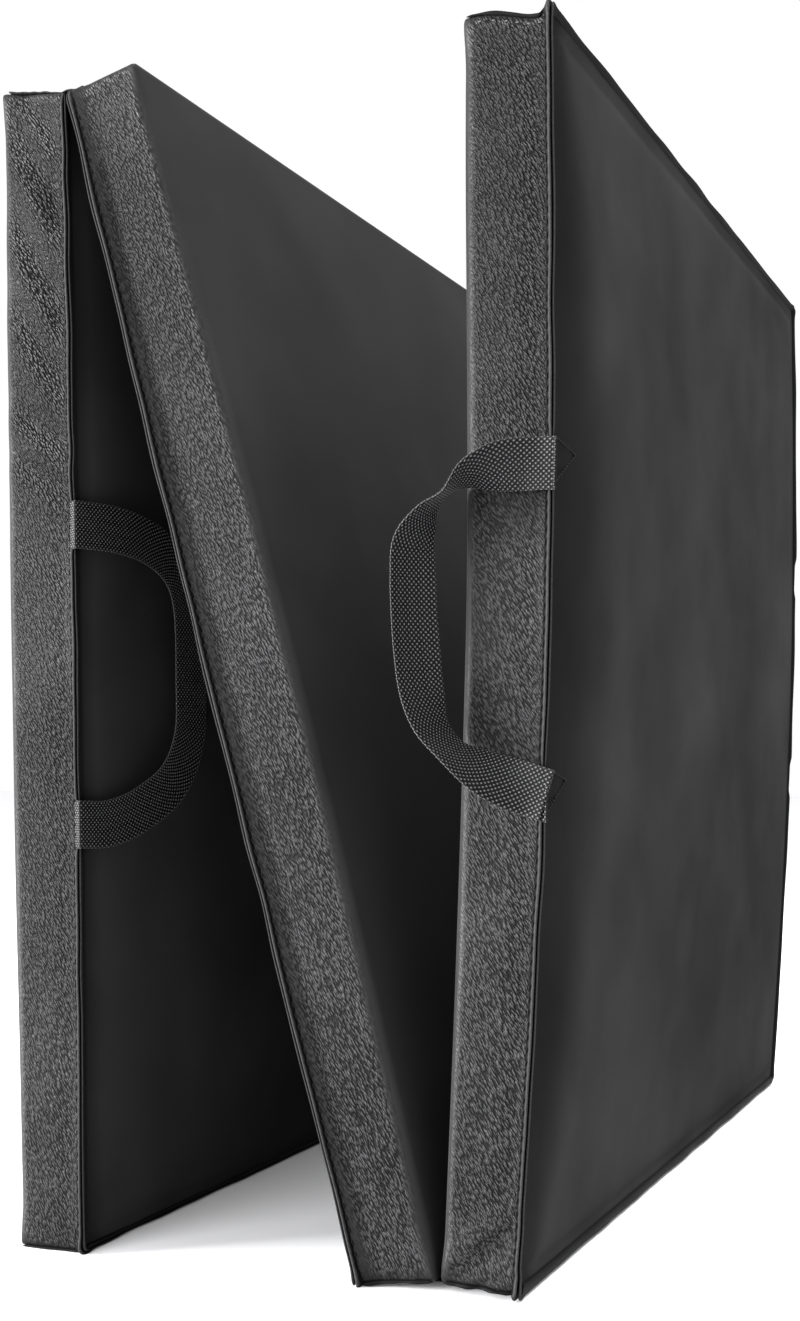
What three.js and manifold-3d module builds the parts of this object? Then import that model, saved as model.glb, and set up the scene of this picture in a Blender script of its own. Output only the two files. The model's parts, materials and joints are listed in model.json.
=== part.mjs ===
// A folding gym mat: three foam panels in sewn covers, hinged in a zigzag, with two webbing handles.
// It stands on its ends in an N: left panel upright, middle panel slanting, right panel upright.
// X runs across the panels, Y along the fold lines from front to rear, Z up. Millimetres.
// A panel's own frame has x = 0 on its plain wrapped face and x = THICKNESS on its seamed face.
import * as THREE from "three";
import { mergeVertices } from "three/addons/utils/BufferGeometryUtils.js";
import Module from "manifold-3d";

const wasm = await Module();
wasm.setup();

// Driving dimensions
const PANEL_DEPTH = 609.6; // 24 in, along the fold lines
const PANEL_HEIGHT = 609.6; // 24 in, the outer panels
const MIDDLE_HEIGHT = 631.6; // the middle cover is longer, for the slack of both folds
const FOAM_THICKNESS = 38.1; // 1.5 in
const SHEET = 1.2; // leathercloth
const GAP = 0.3; // between touching pieces
const WELT_WIDTH = 4; // the raised seam, across the panel's thickness
const WELT_HEIGHT = 3.3; // how far the seam stands out of the side walls
const TUCKED_WELT = 0.5; // how far it stands out where it is tucked under
const HEM_WELT = 4.1; // under the right panel, which stands on its seam
const HINGE_OFFSET = 0.5; // from a folding face to its fold line
const TOP_HINGE_REACH = 1.75; // from a panel's top end to the top fold line
const BOTTOM_HINGE_REACH = 6.7; // from the middle panel's lower end to the bottom fold line
const RIGHT_HINGE_REACH = 0.5; // from the right panel's lower end to the bottom fold line
const LEAF_WIDTH = 16; // of a hinge strip sewn along an end wall
const LEAF_INSET = 2; // from the front and rear walls
const LEFT_BOW = [-2, 2]; // how far the middle of the plain and the seamed face stand off the ends
const MIDDLE_BOW = [-5.5, 1.5];
const RIGHT_BOW = [3.5, 7.5];
const FACET = 70; // height of one flat strip of a bowed face, at most about this
const WEBBING_WIDTH = 25; // 1 in
const WEBBING = 1.8; // thickness
const TAIL_LENGTH = 20; // of webbing sewn inside the cover
const ENDS_SPACING = 157; // between the middles of a handle's two ends
const LEFT_HANDLE_HEIGHT = 303.5; // middle of the handle, in its panel's frame
const RIGHT_HANDLE_HEIGHT = 318.5;
const LEFT_HANDLE_ANGLE = 12; // degrees off the seamed face
const THREAD = 0.5;
const THREAD_INSET = 18; // a seam thread's ends, from the panel's ends
const TACK_DEPTH = 14; // triangular tack stitch
const TACK_HEIGHT = 21;
const TACK_INSET = 3; // from the panel's front wall

const THICKNESS = FOAM_THICKNESS + 2 * (SHEET + GAP);
const CORE_INSET = SHEET + GAP;
const CORE_HEIGHT = PANEL_HEIGHT - 2 * CORE_INSET;
const TAIL_OUTER = THICKNESS - SHEET - GAP;
const TAIL_INNER = TAIL_OUTER - WEBBING;
const SWING_X = THICKNESS + 2.2; // a handle's swing line, in its panel's frame, before the bow
const SWING_Y = -(WELT_HEIGHT + GAP + WEBBING / 2);

const leathercloth = (r) =>
  new THREE.MeshStandardMaterial({ color: 0x3a3a3c, roughness: r, metalness: 0 });
const faceCloth = leathercloth(0.55);
const wallCloth = leathercloth(0.48);
const weltCloth = leathercloth(0.5);
const hingeCloth = leathercloth(0.6);
const foam = new THREE.MeshStandardMaterial({ color: 0xd8d8d2, roughness: 0.9, metalness: 0 });
const webbing = new THREE.MeshStandardMaterial({ color: 0x2c2c2e, roughness: 0.8, metalness: 0 });
const thread = new THREE.MeshStandardMaterial({ color: 0x1e1e20, roughness: 0.6, metalness: 0 });

// A box between two values on each axis, in an odd number of strips of height.
function box([x0, x1], [y0, y1], [z0, z1]) {
  const strips = 2 * Math.floor((z1 - z0) / (2 * FACET)) + 1;
  const geometry = new THREE.BoxGeometry(x1 - x0, y1 - y0, z1 - z0, 1, 1, strips);
  return geometry.translate((x0 + x1) / 2, (y0 + y1) / 2, (z0 + z1) / 2);
}

// A panel bulges most at the middle of its height, and not at its ends.
function archAt(z, height) {
  return Math.sin((Math.PI * THREE.MathUtils.clamp(z, 0, height)) / height);
}

// Bows a piece of a panel across the panel's thickness.
function bowed([plain, seamed], height) {
  return (geometry) => {
    const at = geometry.attributes.position;
    for (let i = 0; i < at.count; i++) {
      const offset = plain + ((seamed - plain) * at.getX(i)) / THICKNESS;
      at.setX(i, at.getX(i) + offset * archAt(at.getZ(i), height));
    }
    return geometry;
  };
}

function toSolid(geometry) {
  const bare = geometry.clone();
  bare.deleteAttribute("normal");
  bare.deleteAttribute("uv");
  const merged = mergeVertices(bare, 1e-4);
  const vertProperties = new Float32Array(merged.attributes.position.array);
  const triVerts = new Uint32Array(merged.index.array);
  return new wasm.Manifold(new wasm.Mesh({ numProp: 3, vertProperties, triVerts }));
}

function toGeometry(solid) {
  const mesh = solid.getMesh();
  const geometry = new THREE.BufferGeometry();
  geometry.setAttribute("position", new THREE.BufferAttribute(mesh.vertProperties, 3));
  geometry.setIndex(new THREE.BufferAttribute(mesh.triVerts, 1));
  const faceted = geometry.toNonIndexed();
  faceted.computeVertexNormals();
  return faceted;
}

// The first geometry with the others cut away, all of them bowed alike.
function cut(bow, body, cutters) {
  const solid = cutters.reduce((s, c) => s.subtract(toSolid(bow(c))), toSolid(bow(body)));
  return toGeometry(solid);
}

function join(first, second) {
  return toGeometry(toSolid(first).add(toSolid(second)));
}

function node(name, geometry, material) {
  const mesh = new THREE.Mesh(geometry, material);
  mesh.name = name;
  return mesh;
}

const grown = ([low, high], by) => [low - by, high + by];

// Where the webbing's sewn ends pass, middle to middle.
function endHeights(handleHeight) {
  return { upper: handleHeight + ENDS_SPACING / 2, lower: handleHeight - ENDS_SPACING / 2 };
}

function webbingSpan(height) {
  return [height - WEBBING_WIDTH / 2, height + WEBBING_WIDTH / 2];
}

// Foam block, with a shallow pocket for each webbing end.
function foamCore(bow, height, ends) {
  const low = (height - CORE_HEIGHT) / 2;
  const block = box(
    [CORE_INSET, THICKNESS - CORE_INSET],
    [CORE_INSET, PANEL_DEPTH - CORE_INSET],
    [low, low + CORE_HEIGHT],
  );
  const pockets = ends.map((end) =>
    box([TAIL_INNER - GAP, THICKNESS], [0, TAIL_LENGTH + GAP], grown(webbingSpan(end), GAP)),
  );
  return cut(bow, block, pockets);
}

// Wrapped face and four side walls, open on the seamed face.
function coverTray(bow, height, ends, tucked) {
  const outside = box([0, THICKNESS], [0, PANEL_DEPTH], [0, height]);
  const inside = box(
    [SHEET, THICKNESS + 1],
    [SHEET, PANEL_DEPTH - SHEET],
    [SHEET, height - SHEET],
  );
  const notches = ends.map((end) =>
    box([TAIL_INNER - GAP, THICKNESS + 1], [-1, SHEET + GAP], grown(webbingSpan(end), GAP)),
  );
  const recess = box(
    [THICKNESS - WELT_WIDTH - GAP, THICKNESS + 1],
    [-1, PANEL_DEPTH + 1],
    [-1, SHEET + GAP / 3],
  );
  return cut(bow, outside, [inside, ...notches, ...(tucked ? [recess] : [])]);
}

// The seamed face, a flat sheet inside the rim of the side walls.
function faceSheet(height) {
  return box(
    [THICKNESS - SHEET, THICKNESS],
    [CORE_INSET, PANEL_DEPTH - CORE_INSET],
    [CORE_INSET, height - CORE_INSET],
  );
}

// The raised seam round the seamed face. Tucked: open at the top, and turned under at the lower end.
function seamWelt(bow, height, ends, tucked) {
  const across = [THICKNESS - WELT_WIDTH, THICKNESS];
  const along = [-WELT_HEIGHT, PANEL_DEPTH + WELT_HEIGHT];
  const outside = tucked
    ? box(across, along, [-TUCKED_WELT, height - GAP])
    : box(across, along, [-HEM_WELT, height + WELT_HEIGHT]);
  const inside = box(
    [0, THICKNESS + 1],
    [-GAP, PANEL_DEPTH + GAP],
    tucked ? [SHEET - GAP, height + 1] : [-GAP, height + GAP],
  );
  const slots = ends.map((end) =>
    box([TAIL_INNER - GAP, TAIL_OUTER + GAP], [-WELT_HEIGHT - 1, 1], grown(webbingSpan(end), GAP)),
  );
  return cut(bow, outside, [inside, ...slots]);
}

// The row of lockstitch thread along the raised seam, on its inner side.
function seamThread(height, front) {
  const x = THICKNESS - WELT_WIDTH - GAP;
  const middle = front ? -WELT_HEIGHT / 2 : PANEL_DEPTH + WELT_HEIGHT / 2;
  return box(
    [x - THREAD, x],
    [middle - THREAD / 2, middle + THREAD / 2],
    [THREAD_INSET, height - THREAD_INSET],
  );
}

function tail(end) {
  return box([TAIL_INNER, TAIL_OUTER], [-WELT_HEIGHT, TAIL_LENGTH], webbingSpan(end));
}

// A triangle of thread on the seamed face, over the webbing's sewn end.
function tack(end) {
  const outline = new THREE.Shape();
  outline.moveTo(0, TACK_HEIGHT / 2);
  outline.lineTo(0, -TACK_HEIGHT / 2);
  outline.lineTo(TACK_DEPTH, TACK_HEIGHT / 4);
  outline.closePath();
  const hole = new THREE.Path();
  hole.moveTo(2 * THREAD, TACK_HEIGHT / 2 - 2 * THREAD);
  hole.lineTo(2 * THREAD, -TACK_HEIGHT / 2 + 4 * THREAD);
  hole.lineTo(TACK_DEPTH - 3 * THREAD, TACK_HEIGHT / 4);
  hole.closePath();
  outline.holes.push(hole);
  const ring = new THREE.ExtrudeGeometry(outline, { depth: THREAD, bevelEnabled: false });
  ring.rotateX(Math.PI / 2).rotateZ(Math.PI / 2);
  return ring.translate(THICKNESS + GAP, TACK_INSET, end);
}

// A strip sewn along an end wall, next to the fold line.
function leafStrip(x, z) {
  return box(x, [LEAF_INSET, PANEL_DEPTH - LEAF_INSET], z);
}

const topLeaf = (height) =>
  leafStrip([THICKNESS - LEAF_WIDTH, THICKNESS - GAP], [height + GAP, height + GAP + SHEET]);

// The middle panel's strip also reaches down to the fold line as a web.
function bottomMiddleLeaf() {
  const strip = leafStrip([0, LEAF_WIDTH], [-GAP - SHEET, -GAP]);
  const web = leafStrip([0, SHEET], [-BOTTOM_HINGE_REACH + 1.5, -GAP]);
  return join(strip, web);
}

const bottomRightLeaf = () => leafStrip([0, LEAF_WIDTH], [-GAP - SHEET, -GAP]);

// Webbing along a smooth route, in the handle's frame: reach from the swing line, out, height.
// Each point's last value turns the webbing's width out of the handle's plane, in degrees.
// Both ends are cut along the swing line, so that they turn clear of the seam.
function webbingLoop(route) {
  const steps = 4 * (route.length - 1);
  const path = new THREE.CatmullRomCurve3(route.map(([r, o, h]) => new THREE.Vector3(r, o, h)));
  const turns = new THREE.CatmullRomCurve3(route.map((p) => new THREE.Vector3(p[3], 0, 0)));
  const positions = [];
  for (let i = 0; i <= steps; i++) {
    const centre = path.getPoint(i / steps);
    const along = path.getTangent(i / steps);
    const turn = THREE.MathUtils.degToRad(turns.getPoint(i / steps).x);
    const inPlane = new THREE.Vector3(-along.z, 0, along.x).normalize();
    const outOfPlane = new THREE.Vector3().crossVectors(along, inPlane).normalize();
    const turned = inPlane.multiplyScalar(Math.cos(turn)).addScaledVector(outOfPlane, Math.sin(turn));
    const wide = i % steps === 0 ? new THREE.Vector3(0, 0, 1 / along.x) : turned;
    const thick = new THREE.Vector3().crossVectors(along, wide).normalize();
    for (const [w, t] of [[-1, -1], [1, -1], [1, 1], [-1, 1]]) {
      const corner = centre
        .clone()
        .addScaledVector(wide, (w * WEBBING_WIDTH) / 2)
        .addScaledVector(thick, (t * WEBBING) / 2);
      positions.push(corner.x, corner.y, corner.z);
    }
  }
  const index = [0, 2, 1, 0, 3, 2];
  for (let i = 0; i < steps; i++)
    for (let k = 0; k < 4; k++) {
      const [a, b] = [4 * i + k, 4 * i + ((k + 1) % 4)];
      index.push(a, b, b + 4, a, b + 4, a + 4);
    }
  const last = 4 * steps;
  index.push(last, last + 1, last + 2, last, last + 2, last + 3);
  const geometry = new THREE.BufferGeometry();
  geometry.setAttribute("position", new THREE.Float32BufferAttribute(positions, 3));
  geometry.setIndex(index);
  return geometry;
}

const HALF_SPACING = ENDS_SPACING / 2;
// The left handle lies flat in one plane, inside the fold.
const LEFT_ROUTE = [
  [0, 0, HALF_SPACING, 0],
  [30, 0, HALF_SPACING, 0],
  [56, 0, 74, 0],
  [77, 0, 62, 0],
  [87, 0, 40, 0],
  [88, 0, 0, 0],
  [86, 0, -33, 0],
  [72, 0, -57, 0],
  [46, 0, -72, 0],
  [22, 0, -HALF_SPACING, 0],
  [0, 0, -HALF_SPACING, 0],
];
// The right handle crosses its panel's front wall, and its outer edge turns to the front.
const RIGHT_ROUTE = [
  [0, 0, HALF_SPACING - 3, 0],
  [9, 0.4, HALF_SPACING - 3, -1],
  [19, 2.2, 75, -16],
  [29, 5, 73.5, -36],
  [40, 8, 70, -58],
  [51, 10, 62, -80],
  [60, 11.5, 52, -68],
  [66, 11.5, 38, -54],
  [66, 11.5, 22, -52],
  [65, 11.5, 5, -51],
  [63, 11.5, -14, -50],
  [60, 11.5, -33, -54],
  [55, 11, -49, -68],
  [45, 9.5, -60.5, -70],
  [32, 6.6, -69, -46],
  [20, 3, -74.5, -22],
  [9, 0.4, -78, -1],
  [0, 0, -HALF_SPACING - 2, 0],
];

// One panel in its own frame, as a group of its pieces.
function panel(side, { height, bows, handleHeight, tucked }) {
  const group = new THREE.Group();
  const bow = bowed(bows, height);
  const ends = handleHeight ? endHeights(handleHeight) : {};
  const heights = Object.values(ends);
  group.add(node(`${side}_foam_core`, foamCore(bow, height, heights), foam));
  group.add(node(`${side}_cover_tray`, coverTray(bow, height, heights, tucked), wallCloth));
  group.add(node(`${side}_face_sheet`, bow(faceSheet(height)), faceCloth));
  group.add(node(`${side}_seam_welt`, seamWelt(bow, height, heights, tucked), weltCloth));
  group.add(node(`${side}_front_seam_thread`, bow(seamThread(height, true)), thread));
  group.add(node(`${side}_rear_seam_thread`, bow(seamThread(height, false)), thread));
  for (const [name, end] of Object.entries(ends)) {
    group.add(node(`${side}_handle_${name}_tail`, bow(tail(end)), webbing));
    group.add(node(`${side}_handle_${name}_tack`, bow(tack(end)), thread));
  }
  return group;
}

// A handle in its panel's frame, turned about its swing line beside the bowed seam.
function handle(side, route, height, seamBow, degrees) {
  const group = new THREE.Group();
  group.add(node(`${side}_handle_strap`, webbingLoop(route), webbing));
  const { upper, lower } = endHeights(height);
  const bulge = (seamBow * (archAt(upper, PANEL_HEIGHT) + archAt(lower, PANEL_HEIGHT))) / 2;
  group.position.set(SWING_X + bulge, SWING_Y, height);
  group.rotation.z = THREE.MathUtils.degToRad(degrees);
  return group;
}

// A point of a panel's frame, leaning by an angle towards -X, as [x, z].
function leaned([x, z], angle) {
  return [x * Math.cos(angle) - z * Math.sin(angle), x * Math.sin(angle) + z * Math.cos(angle)];
}

// The stance. The left panel leans by the height of its tucked seam.
const leftLean = Math.atan2(TUCKED_WELT, THICKNESS - WELT_WIDTH);
const topFold = leaned([THICKNESS + HINGE_OFFSET, PANEL_HEIGHT + TOP_HINGE_REACH], leftLean);

// The middle panel hangs from the top fold and leans until its seamed lower edge meets the floor.
const middleReach = MIDDLE_HEIGHT + TOP_HINGE_REACH + TUCKED_WELT;
const middleLean =
  Math.acos(topFold[1] / Math.hypot(middleReach, HINGE_OFFSET)) - Math.atan2(HINGE_OFFSET, middleReach);
const middleHang = leaned([-HINGE_OFFSET, MIDDLE_HEIGHT + TOP_HINGE_REACH], middleLean);
const middleOrigin = [topFold[0] - middleHang[0], topFold[1] - middleHang[1]];
const bottomReach = leaned([THICKNESS + HINGE_OFFSET, -BOTTOM_HINGE_REACH], middleLean);
const bottomFold = [middleOrigin[0] + bottomReach[0], middleOrigin[1] + bottomReach[1]];

// The right panel turns about the bottom fold until its hem meets the floor.
const hemReach = [THICKNESS + HINGE_OFFSET, HEM_WELT - RIGHT_HINGE_REACH];
const rightLean = Math.asin(bottomFold[1] / Math.hypot(...hemReach)) - Math.atan2(hemReach[1], hemReach[0]);
const rightFoot = leaned([HINGE_OFFSET, RIGHT_HINGE_REACH], -rightLean);
const rightOrigin = [bottomFold[0] + rightFoot[0], bottomFold[1] + rightFoot[1]];

function stand(group, [x, z], lean) {
  group.position.set(x, 0, z);
  group.rotation.y = -lean;
  return group;
}

const left = panel("left", {
  height: PANEL_HEIGHT,
  bows: LEFT_BOW,
  handleHeight: LEFT_HANDLE_HEIGHT,
  tucked: true,
});
left.add(node("top_hinge_left_leaf", topLeaf(PANEL_HEIGHT), hingeCloth));
left.add(handle("left", LEFT_ROUTE, LEFT_HANDLE_HEIGHT, LEFT_BOW[1], 90 - LEFT_HANDLE_ANGLE));

// The middle panel's seamed face looks the other way, towards the left panel.
const middleTurned = panel("middle", { height: MIDDLE_HEIGHT, bows: MIDDLE_BOW, tucked: true });
middleTurned.add(node("top_hinge_middle_leaf", topLeaf(MIDDLE_HEIGHT), hingeCloth));
middleTurned.add(node("bottom_hinge_middle_leaf", bottomMiddleLeaf(), hingeCloth));
middleTurned.rotation.z = Math.PI;
middleTurned.position.set(THICKNESS, PANEL_DEPTH, 0);
const middle = new THREE.Group();
middle.add(middleTurned);

const right = panel("right", {
  height: PANEL_HEIGHT,
  bows: RIGHT_BOW,
  handleHeight: RIGHT_HANDLE_HEIGHT,
  tucked: false,
});
right.add(node("bottom_hinge_right_leaf", bottomRightLeaf(), hingeCloth));
right.add(handle("right", RIGHT_ROUTE, RIGHT_HANDLE_HEIGHT, RIGHT_BOW[1], 180));

const mat = new THREE.Group();
mat.add(stand(left, [0, 0], leftLean));
mat.add(stand(middle, middleOrigin, middleLean));
mat.add(stand(right, rightOrigin, -rightLean));

// The origin is the middle of the whole mat's footprint, on the floor.
mat.updateMatrixWorld(true);
const bounds = new THREE.Box3().setFromObject(mat, true);
const footprint = bounds.getCenter(new THREE.Vector3());
mat.position.set(-footprint.x, -footprint.y, -bounds.min.z);

export default mat;
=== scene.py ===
"""The looks of a folding gym mat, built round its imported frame.

Lengths are millimetres in a panel's own coordinates: s across the panel from its plain face, d back from
its front wall and h up from its lower end. Panel.world turns them into metres in the row frame.
"""

import json
import math

import bpy
import numpy as np
from mathutils import Matrix, Vector


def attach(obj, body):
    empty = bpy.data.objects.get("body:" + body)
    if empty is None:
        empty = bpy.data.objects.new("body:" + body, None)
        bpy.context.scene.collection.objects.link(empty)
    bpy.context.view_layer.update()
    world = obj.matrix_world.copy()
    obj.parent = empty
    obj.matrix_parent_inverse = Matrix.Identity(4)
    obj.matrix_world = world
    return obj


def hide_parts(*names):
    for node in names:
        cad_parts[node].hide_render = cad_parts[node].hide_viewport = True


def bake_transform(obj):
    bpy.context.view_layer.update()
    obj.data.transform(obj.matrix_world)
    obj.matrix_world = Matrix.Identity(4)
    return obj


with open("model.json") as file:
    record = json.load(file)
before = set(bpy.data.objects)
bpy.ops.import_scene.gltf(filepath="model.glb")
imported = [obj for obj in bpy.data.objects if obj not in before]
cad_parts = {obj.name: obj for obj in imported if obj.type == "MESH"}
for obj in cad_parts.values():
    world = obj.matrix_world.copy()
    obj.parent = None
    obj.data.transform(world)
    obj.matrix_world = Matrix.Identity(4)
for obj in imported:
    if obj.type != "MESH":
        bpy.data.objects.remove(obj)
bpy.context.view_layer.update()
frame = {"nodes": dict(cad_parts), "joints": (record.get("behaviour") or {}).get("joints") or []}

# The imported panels
THICKNESS = 41.1
SHEET = 1.2  # the leathercloth on the seamed face
CORE_INSET = 1.5
SEAM_S = THICKNESS - 1.9  # the middle of the raised seam
WEBBING_WIDTH = 25.0
WEBBING = 1.8
END_BAND = 0.005  # metres; a face sheet's end vertices lie within this of its end

# The covers
PLAIN_RADIUS = 7.0  # soft folds round the plain face
END_RADIUS = 2.5  # at a panel's upper and lower end
SEAM_RADIUS = 1.5
FACE_DEPTH = 1.5  # from the seamed face down to the stuffed body under it
FACE_RIM = 1.2  # from the side walls to the face sheet's edge
FOLD_ARC = [1 - math.tan(math.radians(a)) for a in (45, 33.75, 22.5, 11.25)]
HEIGHT_STEP = 4.5
DEPTH_STEP = 6.0
WALL_STEP = 3.0

# How each panel differs from a plain box. bows: how far its plain and seamed sides are pushed over at mid
# height. tucked: whether its seam is folded under at the ends. seed: for its uneven stuffing. flare: how far
# its walls stand out beside the seam, over what width. seam_angle: how far the seam's lips lean, in degrees.
# swell: how far its plain and seamed sides are stuffed out. tone: painted light, how far its walls' colour
# is lightened or darkened, low and high.
PANELS = {
    "left": {
        "bows": (-2.0, 2.0), "tucked": True, "seed": 3, "flare": (1.3, 8.0),
        "seam_angle": 30.0, "swell": (1.8, 0.2), "tone": (1.03, 0.78),
    },
    "middle": {
        "bows": (-5.5, 1.5), "tucked": True, "seed": 5, "flare": (2.6, 8.5),
        "seam_angle": 10.0, "swell": (0.3, 0.2), "tone": (1.35, 1.0),
    },
    "right": {
        "bows": (3.5, 7.5), "tucked": False, "seed": 8, "flare": (1.3, 8.0),
        "seam_angle": 33.0, "swell": (0.3, 1.6), "tone": (1.28, 0.72),
    },
}

# The stuffing: the lengths of its unevenness, and how far from an edge it takes hold
BROAD_WAVE = 210.0
NEAR_WAVE = 90.0
WALL_WAVE = 120.0
FACE_FADE = 16.0  # the faces' swell, from the rim
WALL_FADE = 12.0  # the walls' relief, from the wall back into the panel
END_FADE = 18.0  # the walls' bulge, from the panel's ends
WALL_BULGE = 1.1
ROOT_PRESS = (9.0, 17.0)  # the webbing flattens the seam fully, then not at all, this far from its middle

# Where the cloth meets the seam: a wall's valley beside its flare, and the seamed face's drawn rim
VALLEY_DEPTH = 0.9
VALLEY_WIDTH = 4.0
END_REACH = 45.0  # the flare is wider within this of an end
WELT_RISE = 0.9
WELT_WIDTH = 2.2
DRAW_DEPTH = 3.0
DRAW_PLACE = 8.0
DRAW_WIDTH = 4.5

RIM_DROP = 1.1  # the seamed face's edge goes down into the seam

# Painted shade: the cloth's colour darkened where less light reaches it
FOOT_SHADE = 7.0  # painted shade at the walls' lower ends, and how far up it reaches
SEAM_SHADE = 0.42  # the seamed face's painted shade along the front seam: its tone there
RIM_SHADE = 0.4  # its painted shade right round its rim: its tone, and how far in that goes
RIM_SHADE_REACH = (1.5, 5.0)

# Slack cloth at the panels' ends
TOP_SLACK = 30.0  # how far down from the upper end
SLACK_DEPTH = 28.0  # how far back from a side wall the left panel's upper edge is slack
LEFT_RISE = 6.2  # the left panel's plain edge stands up
RIGHT_CROWN = 1.2
RIGHT_DIP = 4.4  # beside the right panel's seam
RIGHT_THICKENING = 4.0  # the right panel's plain side, towards its upper end
MIDDLE_HANG = 6.0  # the middle panel's plain edge hangs below its lower end
HANG_FADE = 35.0
CRUMPLE_WAVE = 15.0
CRUMPLE_FADE = 13.0

# Soft diagonal folds of a front wall: height at the wall's middle, fall per mm across, size, half width
CREASES = {
    "left": [
        (593, 1.2, 2.3, 5.0), (563, 1.8, 3.2, 6.5), (511, 1.9, 3.0, 6.5), (473, 1.55, 3.0, 6.0),
        (430, 0.8, 2.7, 5.5), (405, 0.65, 2.0, 5.0), (362, 0.9, 0.7, 6.0),
    ],
    "middle": [(34, 0.5, 0.6, 5.0), (60, 0.9, 0.4, 7.0), (606, 0.8, 0.4, 6.0)],
    "right": [(21, -0.86, -2.2, 4.5), (46, -0.9, -0.5, 6.0), (594, 0.2, -1.1, 5.0)],
}

# The seam's section: out along the two lips, and across them towards the seamed face
SEAM_SECTION = [
    (-2.5, -1.8), (0.0, -1.9), (1.5, -1.85), (2.6, -1.6), (3.0, -1.1), (2.7, -0.6),
    (1.8, -0.4), (0.8, -0.3), (0.6, 0.0), (0.8, 0.3), (1.6, 0.4), (2.4, 0.6),
    (2.6, 0.95), (2.3, 1.35), (1.4, 1.55), (0.0, 1.6), (-2.5, 1.5),
]
SEAM_STEP = 2.0
SEAM_WAVE = 60.0
EAR = 6.0  # the seam stands out further within this of a lower corner
HIGH_EAR = 5.0  # and within this of an upper corner
TUCK_FADE = 3.5  # a tucked seam vanishes within this of the upper end
TUCK_LIFT = 1.6  # and is lifted this much along the lower end
TUCK_TURN = 52.0  # where it leans over this much further, in degrees
LOWER_TURN = 34.0  # a free seam leans this much less along the lower end
UPPER_TURN = 12.0
TUCKED_SEAM = 0.92  # a tucked seam's size beside a free one's
PUCKER = 0.22  # of the cloth between two stitches

# Thread: the stitches' pitch, and their length and radius
STITCH_PITCH = 6.0
SEAM_STITCH = (3.2, 0.42)
TACK_PITCH = 2.6
TACK_STITCH = (2.5, 0.5)
TOP_PITCH = 5.4
TOP_STITCH = (2.0, 0.4)
TOP_STITCH_DROP = 4.0  # below the upper end
TACK_REACH = 1.5  # the tacks' points lie this many times as far back on the stuffed face
TACK_LIFT = 0.7

# The handles' routes: reach from the swing line, out of the handle's plane, height, twist in degrees
LEFT_ROUTE = [
    (0, 0, 78.5, 0), (30, 0, 78.5, 0), (56, 0, 74, 0), (77, 0, 62, 0), (87, 0, 40, 0), (88, 0, 0, 0),
    (86, 0, -33, 0), (72, 0, -57, 0), (46, 0, -72, 0), (22, 0, -78.5, 0), (0, 0, -78.5, 0),
]
RIGHT_ROUTE = [
    (0, 0, 75.5, 0), (9, 0.4, 75.5, -1), (19, 2.2, 75, -16), (29, 5, 73.5, -36), (40, 8, 70, -70),
    (51, 10, 62, -103), (60, 11.5, 52, -86), (66, 11.5, 38, -60), (66, 11.5, 22, -52),
    (65, 11.5, 5, -51), (63, 11.5, -14, -50), (60, 11.5, -33, -54), (55, 11, -49, -68),
    (45, 9.5, -60.5, -70), (32, 6.6, -69, -46), (20, 3, -74.5, -22), (9, 0.4, -78, -1),
    (0, 0, -80.5, 0),
]
# Each handle's turn from across the panel towards the rear, in degrees, and how far its grip is cupped
HANDLES = {
    "left": {"route": LEFT_ROUTE, "turn": 78.0, "cup": 0.0},
    "right": {"route": RIGHT_ROUTE, "turn": 180.0, "cup": 2.2},
}
GRIP_RISE = (60.0, 110.0)  # the cup sets in between these distances from a root
# The webbing's sewn end, out of the panel and round the swing line: across, and back from the root
TAIL_ROUTE = [(-6.3, 22), (-6.2, 9), (-4.6, 3.6), (-2.0, 1.4), (-0.2, 0.1), (0.15, -0.15)]

# The weave
WEAVE_LONG = 2.7  # two nubs along the webbing
WEAVE_WIDE = 2.5  # two nubs across it
WEAVE_RISE = 0.55
WEAVE_STEP = 0.5
WEAVE_PLACES = 57  # across the webbing
SELVEDGE = 1.2

# The hinge strips
STRIP_STEP = 1.5
STRIP_PLACES = 203  # along the fold line
STRIP_HALF = 0.35  # half the strip's thickness

# The view, in metres and degrees
CAMERA_PLACE = (0.4142, -1.0948, 0.2589)
CAMERA_YAW = 21.61
CAMERA_PITCH = 0.35
CAMERA_ROLL = -0.20
CAMERA_LENS = 48.69
CAMERA_SHIFT = (-0.0323, 0.0833)

# The studio's soft lights: place, target and size in metres, and power in watts
LIGHTS = {
    "key": ((-4.8, -3.1, 0.9), (0, -0.3, 0.3), (1.8, 1.4), 1240),
    "front": ((-0.6, -2.2, 1.0), (0, 0, 0.25), (1.4, 1.4), 52),
    "top": ((0.6, 0.3, 2.6), (0, 0, 0.3), (1.6, 1.6), 100),
}
FLOOR_SIDE = 12.0  # metres, from its middle

MM = 0.001


# ---- small helpers

def smooth(x, low, high):
    """0 below low and 1 above high, with a smooth rise between them."""
    t = np.clip((x - low) / (high - low), 0, 1)
    return t * t * (3 - 2 * t)


def bell(x, width):
    """1 at x = 0, fading out over about that width on both sides."""
    return np.exp(-((x / width) ** 2))


def unit(v):
    return v / np.maximum(np.linalg.norm(v, axis=-1, keepdims=True), 1e-9)


def mid_wall(s):
    """0 at a wall's two edges and 1 along its middle."""
    return np.sin(math.pi * np.clip(s / THICKNESS, 0, 1))


def uneven(a, b, seed, wave):
    """A soft random relief of about -1 to 1 over two coordinates, with waves of that length."""
    rng = np.random.default_rng(seed)
    total = np.zeros_like(a)
    for _ in range(7):
        angle = rng.uniform(0, math.pi)
        length = wave * rng.uniform(0.6, 1.7)
        phase = rng.uniform(0, 2 * math.pi)
        along = a * math.cos(angle) + b * math.sin(angle)
        total += np.sin(2 * math.pi * along / length + phase)
    return total / 3


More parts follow.
